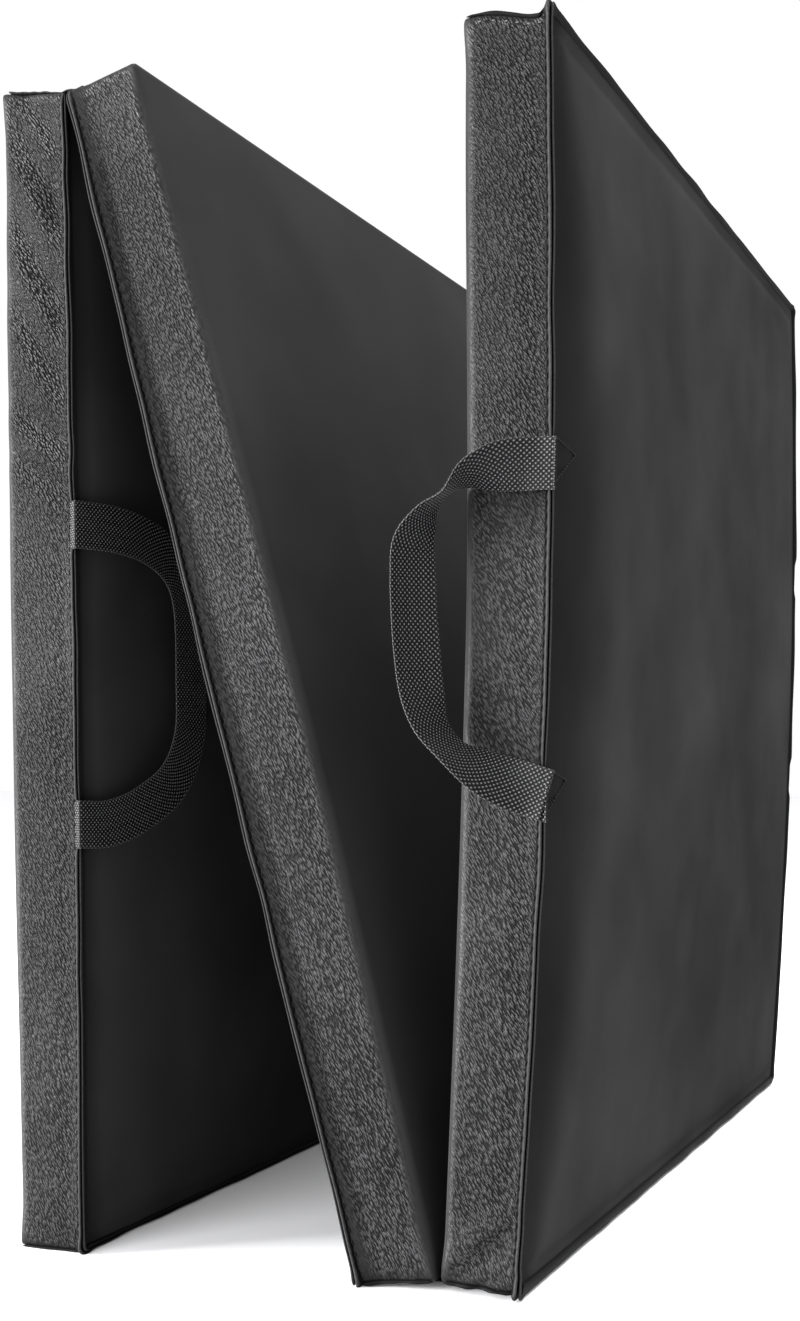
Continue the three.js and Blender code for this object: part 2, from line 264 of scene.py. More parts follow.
def make_mesh(name, points, faces, material):
    """A mesh object from points in metres in the row frame."""
    mesh = bpy.data.meshes.new(name)
    faces = faces.tolist() if isinstance(faces, np.ndarray) else faces
    mesh.from_pydata(np.asarray(points, float).tolist(), [], faces)
    mesh.polygons.foreach_set("use_smooth", [True] * len(mesh.polygons))
    mesh.update()
    obj = bpy.data.objects.new(name, mesh)
    bpy.context.scene.collection.objects.link(obj)
    obj.data.materials.append(material)
    return obj


TURNED_OVER = [0, 3, 2, 1]  # a quad's corners, taken the other way round


def grid_quads(index):
    """The quads of a grid of point numbers."""
    corners = (index[:-1, :-1], index[1:, :-1], index[1:, 1:], index[:-1, 1:])
    return np.stack([c.ravel() for c in corners], axis=1)


def tube_quads(rows, ring, closed=False):
    """The quads of a tube, each of its rows a ring of points; closed joins the last row to the first."""
    i, k = np.meshgrid(np.arange(rows if closed else rows - 1), np.arange(ring), indexing="ij")
    here, there, after = i * ring, (i + 1) % rows * ring, (k + 1) % ring
    return np.stack([a.ravel() for a in (here + k, there + k, there + after, here + after)], axis=1)


def set_attribute(obj, name, values):
    attribute = obj.data.attributes.new(name, "FLOAT", "POINT")
    attribute.data.foreach_set("value", np.asarray(values, np.float32))


def node_points(name):
    mesh = frame["nodes"][name].data
    points = np.empty(len(mesh.vertices) * 3, np.float32)
    mesh.vertices.foreach_get("co", points)
    return points.reshape(-1, 3).astype(float)


# ---- the panels

class Panel:
    """One panel's place in the row frame, and the shape of its stuffed cover."""

    def __init__(self, side, bows, tucked, seed, flare, seam_angle, swell, tone):
        self.side, self.bows, self.tucked, self.seed = side, bows, tucked, seed
        self.flare, self.seam_angle, self.swell, self.tone = flare, seam_angle, swell, tone
        self.body = f"{side}_panel"
        sheet = node_points(f"{side}_face_sheet")
        tray = node_points(f"{side}_cover_tray")
        top = sheet[sheet[:, 2] > sheet[:, 2].max() - END_BAND].mean(0)
        low = sheet[sheet[:, 2] < sheet[:, 2].min() + END_BAND].mean(0)
        self.up = unit(top - low)
        across = np.array((self.up[2], 0, -self.up[0]))
        self.sign = np.sign((sheet.mean(0) - tray.mean(0)) @ across)
        self.across = across * self.sign
        self.back = np.array((0.0, 1.0, 0.0))
        self.height = np.linalg.norm(top - low) / MM + 2 * CORE_INSET
        self.depth = (tray[:, 1].max() - tray[:, 1].min()) / MM
        self.origin = low - self.across * (THICKNESS - SHEET / 2) * MM - self.up * CORE_INSET * MM
        self.origin[1] = tray[:, 1].min()
        tails = [name for name in frame["nodes"] if name.startswith(f"{side}_handle_") and "tail" in name]
        self.roots = [float((node_points(name).mean(0) - self.origin) @ self.up) / MM for name in tails]

    def turned(self, v):
        """A direction in the row frame."""
        return v[..., 0:1] * self.across + v[..., 1:2] * self.back + v[..., 2:3] * self.up

    def world(self, p):
        return self.origin + self.turned(np.asarray(p, float) * MM)

    def on_face(self, point):
        """The place on the stuffed seamed face nearest a point of the row frame."""
        local = (point - self.origin) / MM
        place = np.array([[THICKNESS, TACK_REACH * (local @ self.back), local @ self.up]])
        return self.world(self.shaped(place) + (TACK_LIFT, 0.0, 0.0))[0]

    def at_roots(self, h):
        """1 where the webbing's roots press on the seam, and 0 away from them."""
        near = [np.abs(h - root) for root in self.roots]
        return sum((1 - smooth(n, *ROOT_PRESS) for n in near), np.zeros_like(h))

    def reach(self, h):
        """How far the wall is drawn out beside the seam: further towards the panel's ends."""
        to_end = np.minimum(h, self.height - h)
        return self.flare[1] * (1 + 0.5 * bell(to_end, END_REACH))

    def painted_wall_light(self, h):
        """Painted light: how far the walls' colour is lightened or darkened, from its lower half's tone to
        its upper end's.
        """
        lower, upper = self.tone
        return lower + (upper - lower) * smooth(h, 300, 560)

    def top_rise(self, s, h, sides):
        """How far the slack upper end stands off the plain box, sides being how far in from a side wall."""
        near = bell(np.maximum(self.height - h, 0), TOP_SLACK)
        if self.side == "left":
            edge = np.clip(1 - s / THICKNESS, 0, 1)
            return LEFT_RISE * near * edge * bell(sides, SLACK_DEPTH)
        if self.side == "right":
            dip = smooth(s, 6, 33) * (1 - smooth(s, 34.5, 38.5))
            return near * (RIGHT_CROWN * mid_wall(s) - RIGHT_DIP * dip)
        return 0.0 * near

    def hang(self, s, h):
        """How far the middle panel's plain edge hangs down at its lower end."""
        if self.side != "middle":
            return 0.0
        edge = np.clip(1 - s / THICKNESS, 0, 1) ** 1.3
        return MIDDLE_HANG * edge * bell(np.maximum(h, 0), HANG_FADE)

    def bowed(self, s, h):
        """How far the panel's bow moves a place across."""
        plain, seamed = self.bows
        arch = np.sin(math.pi * np.clip(h, 0, self.height) / self.height)
        return (plain + (seamed - plain) * s / THICKNESS) * arch

    def face_relief(self, s, d, h, ends, sides):
        """How far the two faces are stuffed out, and the seamed one drawn down round its rim."""
        seam_side = smooth(s, 0.5 * THICKNESS, THICKNESS)
        plain_side = 1 - smooth(s, 0, 0.5 * THICKNESS)
        swell = (1 - np.exp(-ends / FACE_FADE)) * (1 - np.exp(-sides / FACE_FADE))
        relief = uneven(d, h, self.seed, BROAD_WAVE) + 0.35 * uneven(d, h, self.seed + 1, NEAR_WAVE)
        out_plain = self.swell[0] * (1 - 0.45 * relief)
        out_seamed = self.swell[1] * (1 + 0.5 * relief)
        rim = np.minimum(ends, sides)
        welt = WELT_RISE * np.exp(-rim / WELT_WIDTH)
        drawn = DRAW_DEPTH * bell(rim - DRAW_PLACE, DRAW_WIDTH)
        out = swell * (seam_side * out_seamed - plain_side * out_plain) + seam_side * (welt - drawn)
        if self.side == "right":
            out -= RIGHT_THICKENING * plain_side * smooth(h, 0.5 * self.height, 0.95 * self.height)
        return out

    def wall_relief(self, s, d, h, ends):
        """How far the bulge, the flare and the folds move a place back, near the front and rear walls."""
        front = np.exp(-np.maximum(d, 0) / WALL_FADE)
        rear = np.exp(-np.maximum(self.depth - d, 0) / WALL_FADE)
        reach = self.reach(h)
        valley = VALLEY_DEPTH * bell(s - THICKNESS + reach, VALLEY_WIDTH)
        drawn_out = smooth(s, THICKNESS - reach, THICKNESS - 1)
        flare = self.flare[0] * drawn_out * (1 - 0.7 * self.at_roots(h))
        out = mid_wall(s) * (WALL_BULGE + 0.35 * uneven(s * 2.5, h, self.seed + 2, WALL_WAVE))
        bulge = (1 - np.exp(-ends / END_FADE)) * (out - valley) + flare
        return bulge * (rear - front) + front * (self.folds(s, h) + self.crumple(s, h))

    def folds(self, s, h):
        """The front wall's soft diagonal folds."""
        depth = np.zeros_like(h)
        for middle, fall, size, width in CREASES[self.side]:
            away = (h - (middle - fall * (s - THICKNESS / 2))) / math.hypot(1, fall) / width
            depth += size * away * np.exp(0.5 - 0.5 * away * away)
        return depth * np.clip(mid_wall(s), 0, 1) ** 0.9

    def crumple(self, s, h):
        """Crumpled cloth at the front wall's lower end, more so beside the right panel's seam."""
        size = 0.4 + (self.side == "right") * smooth(s, 12, 30)
        fade = np.exp(-np.maximum(h, 0) / CRUMPLE_FADE)
        return size * uneven(s, h, self.seed + 5, CRUMPLE_WAVE) * fade

    def shaped(self, p, fill=1.0):
        """Where a point of the plain box goes on the stuffed, sewn cover."""
        s, d, h = p[:, 0], p[:, 1], p[:, 2]
        ends = np.maximum(np.minimum(h, self.height - h), 0)
        sides = np.maximum(np.minimum(d, self.depth - d), 0)
        across = self.bowed(s, h) + fill * self.face_relief(s, d, h, ends, sides)
        back = fill * self.wall_relief(s, d, h, ends)
        up = fill * (self.top_rise(s, h, sides) - self.hang(s, h))
        return np.column_stack((s + across, d + back, h + up))


def stops(length, low_radius, high_radius, step):
    """Places along one edge of a box: close together round both corners, then about a step apart."""
    low = [low_radius * a for a in FOLD_ARC]
    high = [length - high_radius * a for a in reversed(FOLD_ARC)]
    count = max(1, round((length - low_radius - high_radius) / step))
    return np.concatenate((low, np.linspace(low_radius, length - high_radius, count + 1), high))


def box_grid(s_stops, d_stops, h_stops, flipped):
    """The points and quads of a closed box with those stops along its edges."""
    shape = (len(s_stops), len(d_stops), len(h_stops))
    at = np.indices(shape)
    shell = np.zeros(shape, bool)
    for axis, count in enumerate(shape):
        shell |= (at[axis] == 0) | (at[axis] == count - 1)
    index = np.full(shape, -1)
    index[shell] = np.arange(shell.sum())
    s, d, h = (a[shell] for a in np.meshgrid(s_stops, d_stops, h_stops, indexing="ij"))
    quads = []
    for axis in range(3):
        for end in (0, -1):
            side = grid_quads(np.take(index, end, axis=axis))
            outward = (end == -1) != (axis == 1)
            quads.append(side if outward != flipped else side[:, TURNED_OVER])
    return np.column_stack((s, d, h)), np.concatenate(quads)


def rounded(p, size, radius):
    """Rounds a box's edges, each point to its own radius."""
    low = radius[:, None]
    inner = np.clip(p, low, np.array(size) - low)
    return inner + unit(p - inner) * low * (np.linalg.norm(p - inner, axis=1, keepdims=True) > 1e-9)


def make_cover(panel, wall_material, face_material):
    """The stuffed leathercloth cover: the plain face and its four walls, down to the seam."""
    size = (THICKNESS - FACE_DEPTH, panel.depth, panel.height)
    points, quads = box_grid(
        stops(size[0], PLAIN_RADIUS, SEAM_RADIUS, WALL_STEP),
        stops(size[1], PLAIN_RADIUS, PLAIN_RADIUS, DEPTH_STEP),
        stops(size[2], PLAIN_RADIUS, PLAIN_RADIUS, HEIGHT_STEP),
        panel.sign < 0,
    )
    s, h = points[:, 0], points[:, 2]
    radius = PLAIN_RADIUS + (SEAM_RADIUS - PLAIN_RADIUS) * smooth(s, 5, THICKNESS - 5)
    to_end = np.minimum(h, panel.height - h)
    radius = END_RADIUS + (radius - END_RADIUS) * smooth(to_end, 0, 25)
    shaped = panel.shaped(rounded(points, size, radius))
    cover = make_mesh(f"{panel.side}_cover", panel.world(shaped), quads, wall_material)
    cover.data.materials.append(face_material)
    middle = s[quads].mean(axis=1)
    cover.data.polygons.foreach_set("material_index", (middle < 0.5).astype(int))
    grain = smooth(s, 2, 8) * smooth(to_end, -2, 8)
    # Painted shade in a band beside the middle panel's seam, where the grain is also softened.
    painted_shade_band = smooth(s, THICKNESS - panel.reach(h), THICKNESS - 0.5 * panel.reach(h))
    painted_shade_band = painted_shade_band * (panel.side == "middle")
    set_attribute(cover, "grain", 0.12 + 0.88 * grain * (1 - 0.9 * painted_shade_band))
    # Painted light and shade on the walls: lighter low, darker towards the upper end, darker in the band
    # beside the middle panel's seam and at the walls' feet.
    painted_light = 1 + smooth(s, 0.5, 4) * (panel.painted_wall_light(h) - 1)
    # Painted shade at the walls' lower ends.
    painted_foot_shade = 1 - 0.6 * bell(h, FOOT_SHADE)
    set_attribute(cover, "shade", painted_light * (1 - 0.4 * painted_shade_band) * painted_foot_shade)
    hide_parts(f"{panel.side}_cover_tray")
    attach(cover, panel.body)


def make_face(panel, material):
    """The seamed face: one sheet of leathercloth, drawn down to the seam round its rim."""
    points, quads = box_grid(
        np.array((THICKNESS - SHEET, THICKNESS)),
        stops(panel.depth - 2 * FACE_RIM, 8, 8, DEPTH_STEP) + FACE_RIM,
        stops(panel.height - 2 * FACE_RIM, 8, 8, HEIGHT_STEP) + FACE_RIM,
        panel.sign < 0,
    )
    rim = np.minimum(
        np.minimum(points[:, 1], panel.depth - points[:, 1]),
        np.minimum(points[:, 2], panel.height - points[:, 2]),
    )
    shaped = panel.shaped(points)
    shaped[:, 0] -= RIM_DROP * np.exp(-(rim - FACE_RIM) / FACE_RIM)
    face = make_mesh(f"{panel.side}_face", panel.world(shaped), quads, material)
    # Painted shade on the seamed face: darker along the front seam, over a broad band on the right panel,
    # and right round its rim.
    d, h = points[:, 1], points[:, 2]
    arch = (panel.side == "right") * np.sin(math.pi * np.clip(h / panel.height, 0, 1))
    wavy = 2.5 * uneven(d, h, 4, 90)
    lit = SEAM_SHADE + (1 - SEAM_SHADE) * smooth(d + wavy, 4 + 20 * arch, 24 + 110 * arch)
    set_attribute(face, "shade", lit * (RIM_SHADE + (1 - RIM_SHADE) * smooth(rim, *RIM_SHADE_REACH)))
    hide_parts(f"{panel.side}_face_sheet")
    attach(face, panel.body)


def make_foam(panel, material):
    """The foam block inside the cover."""
    inset = 6.0
    size = np.array((THICKNESS, panel.depth, panel.height)) - 2 * inset
    points, quads = box_grid(
        stops(size[0], 3, 3, 10), stops(size[1], 3, 3, 30), stops(size[2], 3, 3, 30), panel.sign < 0
    )
    block = rounded(points, size, np.full(len(points), 3.0)) + inset
    foam = make_mesh(f"{panel.side}_foam", panel.world(panel.shaped(block, 0)), quads, material)
    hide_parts(f"{panel.side}_foam_core")
    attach(foam, panel.body)


# ---- the raised seam

def rim_path(panel, step):
    """Places and outward directions round the seamed face, from the lower front corner up."""
    corner, inset = 3.0, 0.3
    d1, h1 = panel.depth - inset, panel.height - inset
    places, outs = [], []
    edges = [
        ((inset, inset), (inset, h1), (-1, 0)),
        ((inset, h1), (d1, h1), (0, 1)),
        ((d1, h1), (d1, inset), (1, 0)),
        ((d1, inset), (inset, inset), (0, -1)),
    ]
    for number, (start, end, out) in enumerate(edges):
        start, end, out = (np.array(v, float) for v in (start, end, out))
        way = unit(end - start)
        first, last = start + way * corner, end - way * corner
        count = round(np.linalg.norm(last - first) / step)
        for t in np.linspace(0, 1, count + 1):
            places.append(first + (last - first) * t)
            outs.append(out)
        following = np.array(edges[(number + 1) % 4][2], float)
        centre = last - out * corner
        for turn in (22.5, 45, 67.5):
            a = math.radians(turn)
            outs.append(out * math.cos(a) + following * math.sin(a))
            places.append(centre + outs[-1] * corner)
    return np.array(places), np.array(outs)


def seam_frame(panel, places, outs):
    """Centre, lip direction, across direction and size of the seam at each place of the rim."""
    d, h = places[:, 0], places[:, 1]
    up, down = np.clip(outs[:, 1], 0, 1) ** 2, np.clip(-outs[:, 1], 0, 1) ** 2
    to_side, to_top = np.minimum(d, panel.depth - d), panel.height - h
    ear = bell(np.hypot(to_side, h), EAR)
    high_ear = bell(np.hypot(to_side, to_top), HIGH_EAR)
    waves = uneven(d, h, panel.seed + 7, SEAM_WAVE)
    size = (1 + 0.07 * waves) * (1 - 0.38 * panel.at_roots(h) * (to_side < 1))
    lift = np.zeros(len(d))
    if panel.tucked:
        hidden = np.maximum(up, bell(to_top, TUCK_FADE))
        size *= TUCKED_SEAM * (1 - 0.86 * hidden) * (1 + 0.55 * ear)
        angle = panel.seam_angle + TUCK_TURN * down
        lift += TUCK_LIFT * down
    else:
        size *= 1 + 0.1 * down - 0.25 * up + 0.3 * ear + 0.35 * high_ear
        angle = panel.seam_angle - LOWER_TURN * down - UPPER_TURN * up
    angle = np.radians(angle + 4 * uneven(d, h, panel.seed + 9, 0.75 * SEAM_WAVE))
    out = np.column_stack((np.zeros(len(d)), outs))
    side = np.array((1.0, 0, 0))
    lips = np.sin(angle)[:, None] * side + np.cos(angle)[:, None] * out
    across = np.cos(angle)[:, None] * side - np.sin(angle)[:, None] * out
    centre = np.column_stack((np.full(len(d), SEAM_S) + 0.25 * waves, d, h + lift))
    return panel.shaped(centre), lips, across, size


def make_seam(panel, material):
    """The two folded lips of the seam, swept round the seamed face."""
    places, outs = rim_path(panel, SEAM_STEP)
    centre, lips, across, size = seam_frame(panel, places, outs)
    travelled = np.cumsum(np.linalg.norm(np.diff(places, axis=0, prepend=places[:1]), axis=1))
    pucker = PUCKER * np.cos(2 * math.pi * travelled / STITCH_PITCH)
    rings = []
    for f, g in SEAM_SECTION:
        foot = pucker * (g < -1.5) * (f < 2)
        rings.append(centre + (size * f)[:, None] * lips + (size * (g + foot))[:, None] * across)
    points = np.stack(rings, axis=1).reshape(-1, 3)
    quads = tube_quads(len(places), len(SEAM_SECTION), closed=True)
    if panel.sign > 0:
        quads = quads[:, TURNED_OVER]
    seam = make_mesh(f"{panel.side}_seam", panel.world(points), quads, material)
    # Painted highlight, with some wear, along the seam lips' tips: full along the front and rear walls,
    # faint along the upper and lower ends.
    highlit_sides = 0.15 + 0.85 * (np.abs(outs[:, 0]) > 0.9)
    tips = np.array([smooth(f, 1.9, 2.8) for f, _ in SEAM_SECTION])
    set_attribute(seam, "lip_highlight_and_wear", (highlit_sides[:, None] * tips).ravel())
    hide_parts(f"{panel.side}_seam_welt")
    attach(seam, panel.body)


# ---- thread

def capsule(rings=3, sides=6):
    """A unit stitch along x, from -1 to 1, with radius 1."""
    points, faces = [(-1.0, 0.0, 0.0)], []
    for r in range(1, rings + 1):
        a = math.pi * r / (rings + 1)
        for k in range(sides):
            b = 2 * math.pi * k / sides
            points.append((-math.cos(a), math.sin(a) ** 0.6 * math.cos(b), math.sin(a) ** 0.6 * math.sin(b)))
    points.append((1.0, 0.0, 0.0))
    for k in range(sides):
        n = (k + 1) % sides
        faces.append((0, 1 + n, 1 + k))
        for r in range(rings - 1):
            a = 1 + r * sides
            faces.append((a + k, a + n, a + sides + n))
            faces.append((a + k, a + sides + n, a + sides + k))
        last = 1 + (rings - 1) * sides
        faces.append((last + k, last + n, len(points) - 1))
    return np.array(points), np.array(faces)


def make_stitches(name, centres, ways, stitch, material, body, replaced):
    """Lockstitches as one piece, each a small capsule; places and directions in the row frame."""
    length, radius = stitch
    template, faces = capsule()
    ways = unit(np.asarray(ways, float))
    helper = np.where(np.abs(ways[:, 1:2]) < 0.9, (0.0, 1.0, 0.0), (0.0, 0.0, 1.0))
    first = unit(np.cross(ways, helper))
    second = np.cross(ways, first)
    points = (
        np.asarray(centres)[:, None, :]
        + template[None, :, 0:1] * ways[:, None, :] * length * MM / 2
        + template[None, :, 1:2] * first[:, None, :] * radius * MM
        + template[None, :, 2:3] * second[:, None, :] * radius * MM
    ).reshape(-1, 3)
    offsets = np.arange(len(centres))[:, None, None] * len(template)
    quads = (faces[None] + offsets).reshape(-1, 3)
    piece = make_mesh(name, points, quads, material)
    if replaced:
        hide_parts(*replaced)
    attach(piece, body)


def make_seam_stitches(panel, wall, material):
    """The row of stitches at the foot of the seam, on the front or the rear wall."""
    count = int((panel.height - 24) / STITCH_PITCH)
    h = 12 + STITCH_PITCH * (np.arange(count) + 0.5)
    d, out = (panel.depth - 0.3, 1.0) if wall == "rear" else (0.3, -1.0)
    places, outs = np.column_stack((np.full(count, d), h)), np.tile((out, 0.0), (count, 1))
    centre, lips, across, _ = seam_frame(panel, places, outs)
    spot = panel.world(centre + 0.5 * lips - 2.35 * across)
    ways = panel.turned(np.tile((0.12, 0.0, 1.0), (count, 1)))
    name, node = f"{panel.side}_{wall}_stitches", f"{panel.side}_{wall}_seam_thread"
    make_stitches(name, spot, ways, SEAM_STITCH, material, panel.body, [node])


def make_tack(panel, name, material):
    """A triangle of thread beside a handle's root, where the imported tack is."""
    node = f"{panel.side}_handle_{name}_tack"
    corners = [panel.on_face(corner) for corner in triangle_of(node_points(node))]
    centres, ways = [], []
    for start, end in zip(corners, corners[1:] + corners[:1]):
        count = max(3, round(np.linalg.norm(end - start) / MM / TACK_PITCH))
        centres += [start + (end - start) * (i + 0.5) / count for i in range(count)]
        ways += [end - start] * count
    piece = f"{panel.side}_handle_{name}_stitches"
    make_stitches(piece, centres, ways, TACK_STITCH, material, panel.body, [node])


def triangle_of(points):
    """The three outer corners of a thin triangular ring standing in the panel's face."""
    middle_x = points[:, 0].mean()
    front = points[:, 1].min()
    edge = points[points[:, 1] < front + 0.5 * MM]
    high, low = edge[edge[:, 2].argmax()], edge[edge[:, 2].argmin()]
    far = points[points[:, 1].argmax()]
    for corner in (high, low, far):
        if abs(corner[0] - middle_x) < 0.1 * MM:
            corner[0] = middle_x
    return [high, low, far]


def make_hem(panel, top, rear):
    """A folded hem along one wall's upper or lower edge: its points and faces."""
    section = [(math.cos(a) * 1.1, math.sin(a) * 0.8) for a in np.linspace(0, 2 * math.pi, 9)[:-1]]
    across = np.linspace(2.0, THICKNESS - 2.5, 36)
    wave = uneven(across, across * 0, panel.seed + 31 + 2 * top + rear, 11)
    tapered = smooth(across, 1, 5) * (1 - smooth(across, THICKNESS - 7, THICKNESS - 1))
    size = tapered * (1 + 0.3 * wave)
    d = (panel.depth - 0.2) if rear else 0.2
    h = (panel.height - 0.4) if top else 0.2
    centre = panel.shaped(np.column_stack((across, across * 0 + d, across * 0 + h)))
    back, up = (1 if rear else -1), (1 if top else -1)
    out, side = np.array((0, 0.8 * back, 0.6 * up)), np.array((0, 0.6 * back, -0.8 * up))
    points = [c + k * (u * out + v * side) for c, k in zip(centre, size) for u, v in section]
    ring, last = len(section), (len(across) - 1) * len(section)
    faces = tube_quads(len(across), ring).tolist()
    faces += [list(range(ring)), list(range(last, last + ring))[::-1]]
    if (rear == top) != (panel.sign > 0):
        faces = [face[::-1] for face in faces]
    return points, faces


def make_hems(panel, ends, material):
    """Small folded hems along the front and rear walls' upper or lower edges, as one piece."""
    points, faces = [], []
    for top in ends:
        for rear in (False, True):
            more_points, more_faces = make_hem(panel, top, rear)
            faces += [[len(points) + i for i in face] for face in more_faces]
            points += more_points
    hems = make_mesh(f"{panel.side}_hems", panel.world(np.array(points)), faces, material)
    set_attribute(hems, "lip_highlight_and_wear", np.zeros(len(points)))
    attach(hems, panel.body)


def make_topstitches(panel, material):
    """A short row of stitches under the front and rear walls' upper edges."""
    row = np.arange(8.0, THICKNESS - 4, TOP_PITCH)
    centres = [(s, d, panel.height - TOP_STITCH_DROP) for d in (0.0, panel.depth) for s in row]
    places = panel.shaped(np.array(centres))
    places[:, 1] += np.where(places[:, 1] < panel.depth / 2, -0.15, 0.15)
    ways = panel.turned(np.tile((1.0, 0.0, 0.05), (len(centres), 1)))
    name = f"{panel.side}_top_stitches"
    make_stitches(name, panel.world(places), ways, TOP_STITCH, material, panel.body, [])


# ---- webbing

def resampled(route, step):
    """A smooth curve through a route's points, with places about a step apart."""
    route = np.array(route, float)
    padded = np.vstack((2 * route[0] - route[1], route, 2 * route[-1] - route[-2]))
    fine = []
    for i in range(len(route) - 1):
        p0, p1, p2, p3 = padded[i : i + 4]
        for t in np.arange(0, 1, 0.02):
            fine.append(
                0.5 * (2 * p1 + (p2 - p0) * t + (2 * p0 - 5 * p1 + 4 * p2 - p3) * t**2
                       + (3 * p1 - p0 - 3 * p2 + p3) * t**3)
            )
    fine.append(route[-1])
    fine = np.array(fine)
    travelled = np.concatenate(([0], np.cumsum(np.linalg.norm(np.diff(fine[:, :3], axis=0), axis=1))))
    wanted = np.linspace(0, travelled[-1], round(travelled[-1] / step) + 1)
    even = np.column_stack([np.interp(wanted, travelled, fine[:, k]) for k in range(fine.shape[1])])
    return even, wanted


def ribbon(centre, wide, thick, travelled, cup=0.0):
    """A woven strip: its points, quads and how light each point's colour is painted, by how high it stands
    on a nub and along the selvedges, for both sides.
    cup is how far its middle stands off its selvedges, along the strip."""
    across = np.linspace(-1, 1, WEAVE_PLACES)
    ring, weave_light_and_shade = [], []
    for side in (1, -1):
        for v in across[::side]:
            y = v * WEBBING_WIDTH / 2
            weave = np.cos(2 * math.pi * travelled / WEAVE_LONG) * math.cos(2 * math.pi * y / WEAVE_WIDE)
            nub = np.clip(side * weave, 0, 1) ** 0.7
            edge = 1 - smooth(np.array(abs(y)), WEBBING_WIDTH / 2 - SELVEDGE, WEBBING_WIDTH / 2)
            half = np.maximum((WEBBING / 2 - WEAVE_RISE * (1 - nub)) * (0.3 + 0.7 * edge), 0.15)
            off = side * half + cup * (1 - v * v)
            ring.append(centre + wide * y + thick * np.reshape(off, (-1, 1)))
            # Painted highlight on the nubs' tops and along the selvedges.
            weave_light_and_shade.append(np.maximum(nub, 0.45 * (1 - edge)))
    points = np.stack(ring, axis=1)
    rows, width = points.shape[:2]
    quads = tube_quads(rows, width).tolist()
    for row, turn in ((0, False), (rows - 1, True)):
        base = row * width
        for k in range(width // 2 - 1):
            quad = [base + k, base + k + 1, base + width - 2 - k, base + width - 1 - k]
            quads.append(quad[::-1] if turn else quad)
    return points.reshape(-1, 3), quads, np.stack(weave_light_and_shade, axis=1).ravel()


def make_strip(name, points, quads, nubs, material, body, replaced):
    obj = make_mesh(name, points, quads, material)
    set_attribute(obj, "nub", nubs)
    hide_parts(replaced)
    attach(obj, body)


def joint_place(name):
    joint = next(j for j in frame["joints"] if j["name"] == name)
    return np.array(joint["pos_m"], float)


def make_handle(panel, route, turn, cup, material):
    """The free webbing loop, riding on its own swinging body."""
    even, travelled = resampled(route, WEAVE_STEP)
    centre = even[:, :3]
    along = unit(np.gradient(centre, axis=0))
    twist = np.radians(even[:, 3])[:, None]
    in_plane = unit(np.column_stack((-along[:, 2], np.zeros(len(along)), along[:, 0])))
    out_of_plane = unit(np.cross(along, in_plane))
    wide = unit(in_plane * np.cos(twist) + out_of_plane * np.sin(twist))
    thick = unit(np.cross(along, wide))
    grip = smooth(travelled, *GRIP_RISE) * smooth(travelled[-1] - travelled, *GRIP_RISE)
    points, quads, nubs = ribbon(centre, wide, thick, travelled, cup * grip)
    a = math.radians(turn)
    reach = math.cos(a) * panel.across + math.sin(a) * panel.back
    out = -math.sin(a) * panel.across + math.cos(a) * panel.back
    place = joint_place(f"{panel.side}_handle_swing")
    world = place + MM * (points[:, 0:1] * reach + points[:, 1:2] * out + points[:, 2:3] * panel.up)
    name = f"{panel.side}_handle"
    make_strip(name, world, quads, nubs, material, name, f"{name}_strap")


def make_tail(panel, end, root, material):
    """The sewn end of the webbing, out of the seam and rolled round the swing line, at the route's root."""
    place = joint_place(f"{panel.side}_handle_swing")
    local = (place + panel.up * MM * root[2] - panel.origin) / MM
    s, d, h = local @ panel.across, local @ panel.back, local @ panel.up
    even, travelled = resampled([(s + a, d + b, h, 0.0) for a, b in TAIL_ROUTE], WEAVE_STEP)
    centre = even[:, :3]
    along = unit(np.gradient(centre, axis=0))
    wide = np.tile((0.0, 0.0, 1.0), (len(centre), 1))
    thick = unit(np.cross(along, wide))
    points, quads, nubs = ribbon(centre, wide, thick, travelled)
    name, node = f"{panel.side}_handle_{end}_end", f"{panel.side}_handle_{end}_tail"
    make_strip(name, panel.world(points), quads, nubs, material, panel.body, node)


# ---- the hinge strips

def open_strip(u, v, lift, place):
    """A thin strip's points and quads over a grid: place maps u, v and a height to the row frame, in mm."""
    points = np.concatenate([place(u, v, lift + side).reshape(-1, 3) for side in (STRIP_HALF, -STRIP_HALF)])
    index = np.arange(u.size).reshape(u.shape)
    top = grid_quads(index)
    loop = np.concatenate((index[:, 0], index[-1, 1:], index[-2::-1, -1], index[0, -2:0:-1]))
    after = np.roll(loop, -1)
    rim = np.stack((after, loop, loop + u.size, after + u.size), axis=1)
    return points, np.concatenate((top, top[:, ::-1] + u.size, rim))


